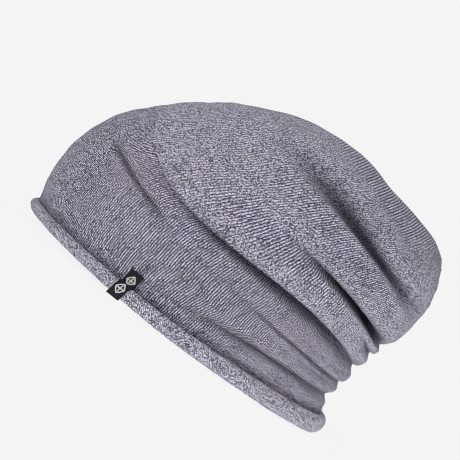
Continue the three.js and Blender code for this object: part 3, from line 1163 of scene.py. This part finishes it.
@dataclass
class RolledBrim:
    """The edge of the knit, curled outward and up so that its purl side shows.

    strip_share is the width of the flat strip that it rests on, as a share of the roll's width.
    An arc is two angles in degrees and a count of rows. slant is how many columns the stitches
    lean over for each course. The lumps start lump_from above its underside.
    """

    form: BeanieForm
    finish: bpy.types.Material
    columns: int = 480
    wales: int = 440
    course: float = 0.0011
    strip_share: float = 0.36
    inner_arc: tuple = (180.0, 240.0, 9)
    outer_arc: tuple = (-60.0, 90.0, 19)
    slant: float = 0.35
    lump: float = 0.00025
    lump_counts: tuple = (37.0, 5.0, 61.0)
    lump_sway: float = 2.0
    lump_phase: float = 1.0
    lump_from: float = 0.001

    def outline(self, turn: np.ndarray) -> np.ndarray:
        """Section of the roll at each turn: out from the wall's inner face, and up.

        Args:
            turn: turns from the nape, one for each column.

        Returns:
            Points as rows x columns x 2, from the seat round the inside, under and over.
        """
        form = self.form
        height, width, lift = form.roll_height(turn), form.roll_width(turn), form.roll_lift(turn)
        radius_x, radius_z = width / 2, height / 2
        slot = form.wall + form.gap
        shoulder = np.sqrt(np.maximum(1 - (slot / radius_x - 1) ** 2, 0.0))
        seat = lift + height * form.seat_share
        strip = self.strip_share * width / 2
        rows = [(np.zeros_like(turn), seat)]
        rows += self.arc_rows(self.inner_arc, radius_x, radius_z, lift)
        rows.append((radius_x - strip, lift))
        rows.append((radius_x, lift))
        rows.append((radius_x + strip, lift))
        rows += self.arc_rows(self.outer_arc, radius_x, radius_z, lift)
        edge = np.full_like(turn, slot)
        rows.append((edge, lift + radius_z * (1 + shoulder)))
        rows.append((edge, seat))
        return np.array([np.stack(row, axis=-1) for row in rows])

    def arc_rows(self, arc: tuple, radius_x: np.ndarray, radius_z: np.ndarray,
                 lift: np.ndarray) -> list:
        """Rows of one round part of the section.

        Args:
            arc: its first and last angles in degrees, and its count of rows.
            radius_x: half the roll's width at each turn.
            radius_z: half its height.
            lift: height of its underside.

        Returns:
            The rows, each as distances out from the wall's inner face and heights.
        """
        rows = []
        for degrees in np.linspace(*arc):
            angle = math.radians(degrees)
            out = radius_x * (1 + math.cos(angle))
            rows.append((out, lift + radius_z * (1 + math.sin(angle))))
        return rows

    def place(self, outline: np.ndarray, turn: np.ndarray) -> np.ndarray:
        """Puts section points round the rim.

        Args:
            outline: points as rows x columns x 2.
            turn: turns from the nape, one for each column.

        Returns:
            Points as rows x columns x 3.
        """
        rim = self.form.rim_points(turn)
        normal = self.form.rim_normal(turn)
        placed = rim[None] + normal[None] * (outline[..., :1] - self.form.wall)
        placed[..., 2] = outline[..., 1]
        return placed

    def build(self) -> bpy.types.Object:
        """Makes the roll as one closed ring.

        Returns:
            The roll, riding on the body.
        """
        turn = even_turns(self.columns)
        grid = self.place(self.outline(turn), turn)
        steps = np.linalg.norm(np.diff(grid, axis=0), axis=-1).mean(axis=1)
        along = np.concatenate([[0.0], np.cumsum(steps)]) / self.course
        first, sway, second = self.lump_counts
        lumps = np.sin(turn * first + self.lump_sway * np.sin(turn * sway))
        lumps = lumps + np.sin(turn * second + self.lump_phase)
        outward = self.form.rim_normal(turn)[None] * (self.lump * lumps)[None, :, None]
        rounded = np.sin(np.linspace(0, math.pi, len(grid)))[:, None, None] ** 2
        lifted = grid[..., 2:] > self.form.roll_lift(turn)[None, :, None] + self.lump_from
        grid = grid + outward * rounded * lifted

        sheet = SheetMesh()
        indices = close_columns(sheet.add_points(grid))
        around = np.arange(self.columns + 1) / self.columns * self.wales
        uv = pairs(around[None, :] + self.slant * along[:, None], along[:, None])
        sheet.add_quads(indices, uv)
        sheet.add_quads(np.stack([indices[-1], indices[0]]), uv[:2])
        piece = sheet.build("knit_roll", [self.finish])
        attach(piece, BODY)
        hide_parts("rolled_brim")
        return piece


@dataclass
class Label:
    """The woven tab, sewn on the wall above the roll and folded down over it.

    turn is its place from the nape and lean how far its top is to one side. Its loose end hangs
    at hang, a share of the roll's width, and the tape stays clear of the knit. The motif is of
    satin-stitched bars, which narrow at their ends, and the sewing thread ends in a loose tail.
    """

    form: BeanieForm
    tape: bpy.types.Material
    mark: bpy.types.Material
    turn: float = 0.6005 * math.pi
    width: float = 0.0088
    length: float = 0.0216
    lean: float = 0.0040
    thickness: float = 0.0006
    hang: float = 0.98
    over_arc: tuple = (-25.0, 80.0, 24)
    wall_levels: tuple = (0.012, 0.2, 60)
    across_steps: int = 12
    along_steps: int = 48
    clear: float = 0.0005
    edge_round: float = 0.6
    motif_middles: tuple = (0.0066, 0.0152)
    motif_half_length: float = 0.0036
    motif_half_width: float = 0.0031
    bar_breadth: float = 0.0008
    bar_height: float = 0.00022
    bar_sinks: float = 0.00005
    bar_steps: int = 8
    bar_ring: tuple = ((-1.0, 0.0), (-0.6, 1.0), (0.6, 1.0), (1.0, 0.0))
    bar_ends: tuple = (0.08, 0.92)
    bar_taper: float = 0.3
    bar_threads: float = 0.004
    thread_radius: float = 0.00022
    thread_inset: float = 0.0011
    thread_sides: int = 8
    seam_ends: tuple = (0.0006, 0.0004)
    seam_stitches: int = 6
    seam_lifts: tuple = (0.00004, 0.00016)
    seam_rows: int = 40
    tail_way: tuple = (-0.0006, -0.0009, 0.0026)
    tail_bow: tuple = (0.0006, 0.0, 0.0)
    tail_rows: int = 14

    def path(self) -> np.ndarray:
        """Inner face of the tape in the roll's outline plane, from its loose end up the wall.

        Returns:
            Points as rows x 2: out from the wall's inner face, and up.
        """
        form = self.form
        turn = np.array([self.turn])
        width = float(form.roll_width(turn)[0])
        crest = float(form.crest(turn)[0])
        height = float(form.roll_height(turn)[0])
        centre = np.array([width / 2, crest - height / 2])
        angles = np.radians(np.linspace(*self.over_arc))
        over = np.stack([centre[0] + (width / 2 + self.clear) * np.cos(angles),
                         centre[1] + (height / 2 + self.clear) * np.sin(angles)], axis=-1)
        levels = np.linspace(*self.wall_levels)[:, None]
        wall_points = form.base_points(levels, turn)[:, 0]
        normal = form.rim_normal(turn)[0]
        out = (wall_points - form.rim_points(turn)[0]) @ normal
        wall = np.stack([form.wall + out + self.clear, wall_points[:, 2]], axis=-1)
        end = np.array([[width * self.hang + self.clear, form.gap]])
        return np.concatenate([end, over, wall])

    def cut(self, path: np.ndarray) -> np.ndarray:
        """Takes the first stretch of a path, as long as the tape, at even steps.

        Args:
            path: points as rows x 2.

        Returns:
            Points as rows x 2.
        """
        along = running_length(path)
        places = np.linspace(0.0, self.length, self.along_steps + 1)
        return np.stack([np.interp(places, along, path[:, axis]) for axis in (0, 1)], axis=-1)

    def surface(self, along: np.ndarray, across: np.ndarray, lift: np.ndarray) -> np.ndarray:
        """Points on the tape.

        Args:
            along: distances from the loose end.
            across: distances from the middle line.
            lift: distances off the tape's inner face.

        Returns:
            Points in the shape of the inputs, with 3 coordinates each.
        """
        path = self.cut(self.path())
        places = np.linspace(0.0, self.length, len(path))
        slope = unit(np.gradient(path, places, axis=0))
        x = np.interp(along, places, path[:, 0])
        z = np.interp(along, places, path[:, 1])
        slope_x = np.interp(along, places, slope[:, 0])
        slope_z = np.interp(along, places, slope[:, 1])
        x = x + slope_z * lift
        z = z - slope_x * lift
        turn = np.array([self.turn])
        rim = self.form.rim_points(turn)[0]
        normal = self.form.rim_normal(turn)[0]
        tangent = np.array([-normal[1], normal[0], 0.0])
        sideways = across + self.lean * along / self.length
        point = rim + normal * (x - self.form.wall)[..., None] + tangent * sideways[..., None]
        point[..., 2] = z
        return point

    def tape_piece(self) -> bpy.types.Object:
        """Makes the tape itself, with rounded edges.

        Returns:
            The tape.
        """
        half = self.width / 2
        side = np.linspace(-half, half, self.across_steps + 1)
        edge = self.thickness / 2
        brink = half + edge * self.edge_round
        ring_across = np.concatenate([side, [brink], side[::-1], [-brink]])
        ring_lift = np.concatenate([np.full(len(side), self.thickness), [edge],
                                    np.zeros(len(side)), [edge]])
        along = np.linspace(0.0, self.length, self.along_steps + 1)
        grid = self.surface(np.repeat(along[:, None], len(ring_across), axis=1),
                            np.repeat(ring_across[None], len(along), axis=0),
                            np.repeat(ring_lift[None], len(along), axis=0))
        sheet = SheetMesh()
        indices = close_columns(sheet.add_points(grid))
        uv = pairs(np.append(ring_across, ring_across[0])[None], along[:, None])
        sheet.add_quads(indices[:, ::-1], uv[:, ::-1])
        count = len(side)
        for row, flip in ((0, 1), (-1, -1)):
            top = indices[row, :count]
            bottom = indices[row, count + 1:2 * count + 1][::-1]
            cap = np.stack([top, bottom])[::flip]
            sheet.add_quads(cap, uv[:2, :count])
        return sheet.build("label_tape", [self.tape])

    def bar(self, sheet: SheetMesh, start: tuple, end: tuple) -> None:
        """Adds one satin-stitched bar of thread on the tape.

        Args:
            sheet: the mesh to add to.
            start: distance from the loose end and from the middle line.
            end: the same for its other end.
        """
        share = np.linspace(0.0, 1.0, self.bar_steps + 1)
        half = self.bar_breadth / 2
        line = np.array(start)[None] + (np.array(end) - np.array(start))[None] * share[:, None]
        way = unit(np.array(end) - np.array(start))
        side = np.array([-way[1], way[0]])
        ring = np.array(self.bar_ring)
        taper = np.sin(math.pi * np.clip(share, *self.bar_ends)) ** self.bar_taper
        spots = line[:, None] + side * (ring[:, :1] * half)[None] * taper[:, None, None]
        lift = ring[None, :, 1] * self.bar_height * taper[:, None]
        lift = self.thickness - self.bar_sinks + lift
        grid = self.surface(spots[..., 0], spots[..., 1], lift)
        uv = pairs(share[:, None] * self.bar_threads, ring[None, :, 0] * half)
        indices = sheet.add_points(grid)
        sheet.add_quads(indices[:, ::-1], uv[:, ::-1])

    def motif_piece(self) -> bpy.types.Object:
        """Makes the pale woven motif: two lozenges, each with a cross in it.

        Returns:
            The motif.
        """
        sheet = SheetMesh()
        for middle in self.motif_middles:
            low = (middle - self.motif_half_length, 0.0)
            high = (middle + self.motif_half_length, 0.0)
            left = (middle, -self.motif_half_width)
            right = (middle, self.motif_half_width)
            for start, end in ((low, right), (right, high), (high, left), (left, low),
                               (low, high), (left, right)):
                self.bar(sheet, start, end)
        return sheet.build("label_motif", [self.mark])

    def thread_piece(self) -> bpy.types.Object:
        """Makes the sewing thread across the tape's top, with its loose end.

        Returns:
            The thread.
        """
        radius = self.thread_radius
        top = self.length - self.thread_inset
        half = self.width / 2
        share = np.linspace(0.0, 1.0, self.seam_rows)
        across = mix(half + self.seam_ends[0], -half - self.seam_ends[1], share)
        stitches = np.abs(np.sin(share * math.pi * self.seam_stitches))
        lift = self.thickness + self.seam_lifts[0] + self.seam_lifts[1] * stitches
        seam = self.surface(np.full_like(across, top), across, lift)
        tail_share = np.linspace(0.0, 1.0, self.tail_rows)[1:, None]
        tail = seam[-1] + tail_share * np.array(self.tail_way)
        tail = tail + np.sin(tail_share * math.pi) * np.array(self.tail_bow)
        line = np.concatenate([seam, tail])
        way = unit(np.gradient(line, axis=0))
        side = unit(np.cross(way, np.array([0.0, 1.0, 0.0])))
        other = np.cross(way, side)
        angles = even_turns(self.thread_sides)
        ring = (np.cos(angles)[None, :, None] * side[:, None]
                + np.sin(angles)[None, :, None] * other[:, None])
        grid = line[:, None] + ring * radius
        sheet = SheetMesh()
        indices = close_columns(sheet.add_points(grid))
        uv = pairs(np.arange(self.thread_sides + 1)[None] * radius,
                   np.arange(len(line))[:, None] * radius)
        sheet.add_quads(indices, uv)
        return sheet.build("label_thread", [self.tape])

    def build(self) -> list:
        """Makes the tape, its motif and its sewing thread.

        Returns:
            The three pieces, riding on the body.
        """
        tape = self.tape_piece()
        motif = self.motif_piece()
        thread = self.thread_piece()
        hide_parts("label")
        for piece, slot in ((tape, "label_tape"), (motif, "label_mark"), (thread, "label_tape")):
            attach(piece, BODY)
        return [tape, motif, thread]


@dataclass
class Studio:
    """Pale floor, even soft light and the camera that leans as the photograph's does.

    frame_size is the width that the camera sees at its target, in metres. A way points towards
    a light. elevation, roll and lamp_angle are in degrees.
    """

    target: tuple = (-0.0081, 0.0, 0.0683)
    distance: float = 1.4
    elevation: float = 2.5
    roll: float = 36.9
    frame_size: float = 0.28244
    sensor: float = 0.036
    background: float = 0.905
    ambient: float = 0.6
    floor_half: float = 60.0
    floor_glow: float = 0.86
    floor_albedo: float = 0.06
    front_way: tuple = (-0.15, -0.85, 0.45)
    front_energy: float = 1.35
    low_way: tuple = (0.6, -0.12, -0.8)
    low_energy: float = 1.7
    lamp_angle: float = 60.0
    sharpness: float = 1.0
    clip_end: float = 200.0

    def floor(self) -> None:
        """Makes the wide floor, which lets the low light through."""
        half = self.floor_half
        mesh = bpy.data.meshes.new("floor")
        corners = [(-half, -half, 0), (half, -half, 0), (half, half, 0), (-half, half, 0)]
        mesh.from_pydata(corners, [], [(0, 1, 2, 3)])
        material = bpy.data.materials.new("pale_floor")
        graph = Graph(material)
        shader = graph.node("ShaderNodeBsdfPrincipled", {
            "Base Color": rgba((self.floor_albedo,) * 3), "Roughness": 1.0,
            "Specular IOR Level": 0.0, "Emission Color": rgba((1.0, 1.0, 1.0)),
            "Emission Strength": self.floor_glow})
        graph.node("ShaderNodeOutputMaterial", {0: shader.outputs[0]})
        mesh.materials.append(material)
        piece = add_object("floor", mesh)
        piece.visible_shadow = False

    def sky(self) -> None:
        """Makes the even backdrop, dimmer as a light than to the camera."""
        world = bpy.data.worlds.new("studio")
        bpy.context.scene.world = world
        graph = Graph(world)
        light, seen = (graph.node("ShaderNodeBackground", {"Color": rgba((grey,) * 3)}).outputs[0]
                       for grey in (self.ambient, self.background))
        by_camera = graph.node("ShaderNodeLightPath", {}).outputs["Is Camera Ray"]
        both = graph.node("ShaderNodeMixShader", {0: by_camera, 1: light, 2: seen})
        graph.node("ShaderNodeOutputWorld", {0: both.outputs[0]})

    def sun(self, name: str, way: Vector, energy: float, angle: float) -> None:
        """Makes one broad even light.

        Args:
            name: name of the light.
            way: direction towards the light.
            energy: its strength.
            angle: its width in degrees, wider for softer shadows.
        """
        lamp = bpy.data.lights.new(name, "SUN")
        lamp.energy = energy
        lamp.angle = math.radians(angle)
        piece = add_object(name, lamp)
        piece.rotation_mode = "QUATERNION"
        piece.rotation_quaternion = way.to_track_quat("Z", "Y")

    def lights(self) -> None:
        """Makes the front and low lights, and one from above that evens out the floor."""
        needed = ((self.background - self.floor_glow) / self.floor_albedo - self.ambient) * math.pi
        for name, direction, energy in (("front", self.front_way, self.front_energy),
                                        ("low", self.low_way, self.low_energy)):
            way = Vector(direction).normalized()
            self.sun(name, way, energy, self.lamp_angle)
            needed -= energy * max(way.z, 0.0)
        self.sun("above", Vector((0.0, 0.0, 1.0)), max(needed, 0.0), self.lamp_angle)

    def camera(self) -> None:
        """Makes the camera, rolled by the photograph's lean."""
        lean = math.radians(self.elevation)
        back = Vector((0.0, -math.cos(lean), math.sin(lean)))
        right = Vector((1.0, 0.0, 0.0))
        up = back.cross(right)
        turn = math.radians(self.roll)
        image_x = right * math.cos(turn) + up * math.sin(turn)
        image_y = up * math.cos(turn) - right * math.sin(turn)
        lens = bpy.data.cameras.new("camera")
        lens.sensor_width = self.sensor * 1000
        lens.lens = self.sensor * 1000 * self.distance / self.frame_size
        lens.clip_end = self.clip_end
        piece = add_object("camera", lens)
        place = Vector(self.target) + back * self.distance
        columns = Matrix((image_x, image_y, back)).transposed()
        piece.matrix_world = Matrix.Translation(place) @ columns.to_4x4()
        bpy.context.scene.camera = piece

    def build(self) -> None:
        """Sets up the whole studio."""
        self.floor()
        self.sky()
        self.lights()
        self.camera()
        bpy.context.scene.view_settings.view_transform = "Standard"
        bpy.context.scene.cycles.filter_width = self.sharpness


def main() -> None:
    """Builds the beanie's pieces over the frame, and the studio."""
    logging.basicConfig(level=logging.INFO, format="%(name)s: %(message)s")
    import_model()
    form = BeanieForm.from_frame()
    outside = KnitFinish("heather_knit", Stitch.STOCKINETTE).build()
    purl_side = KnitFinish("heather_purl", Stitch.PURL, light=(0.84, 0.81, 0.95)).build()
    tape = TapeFinish("label_tape", (0.008, 0.008, 0.009)).build()
    mark = TapeFinish("label_mark", (0.9, 0.9, 0.9)).build()
    pieces = [Crown(form, outside, purl_side).build(), RolledBrim(form, purl_side).build(),
              *Label(form, tape, mark).build()]
    for piece in pieces:
        LOG.info("%s: %d faces", piece.name, len(piece.data.polygons))
    Studio().build()


if __name__ == "__main__":
    main()
